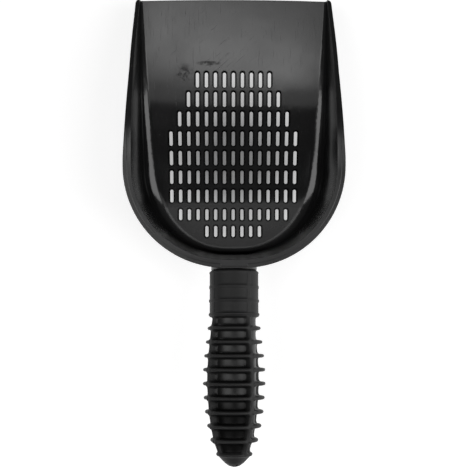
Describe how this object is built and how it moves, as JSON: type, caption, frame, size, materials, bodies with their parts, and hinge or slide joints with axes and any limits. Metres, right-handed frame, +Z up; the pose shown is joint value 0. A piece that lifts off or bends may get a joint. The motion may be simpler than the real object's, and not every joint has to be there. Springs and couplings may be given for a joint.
{
  "type": "hand sand scoop",
  "caption": "Open-fronted sifting scoop with a slotted floor, a rolled rim, a straight digging lip and a finned rubber grip on a tube handle.",
  "frame": {"origin": "centre of the part's overall box in X and Y, at the level of the basket's flat underside", "axes": "+Z up out of the basket's mouth, +Y towards the digging lip, X across the scoop"},
  "size_m": [0.1446, 0.3144, 0.0798],
  "materials": {
    "moulded_plastic": "moulded gloss, lightly scuffed",
    "tube_metal": "drawn mill finish",
    "grip_rubber": "matte charcoal"
  },
  "bodies": {
    "root": {"scoop_shell": "moulded_plastic", "handle_tube": "tube_metal", "rubber_grip": "grip_rubber"}
  },
  "joints": []
}
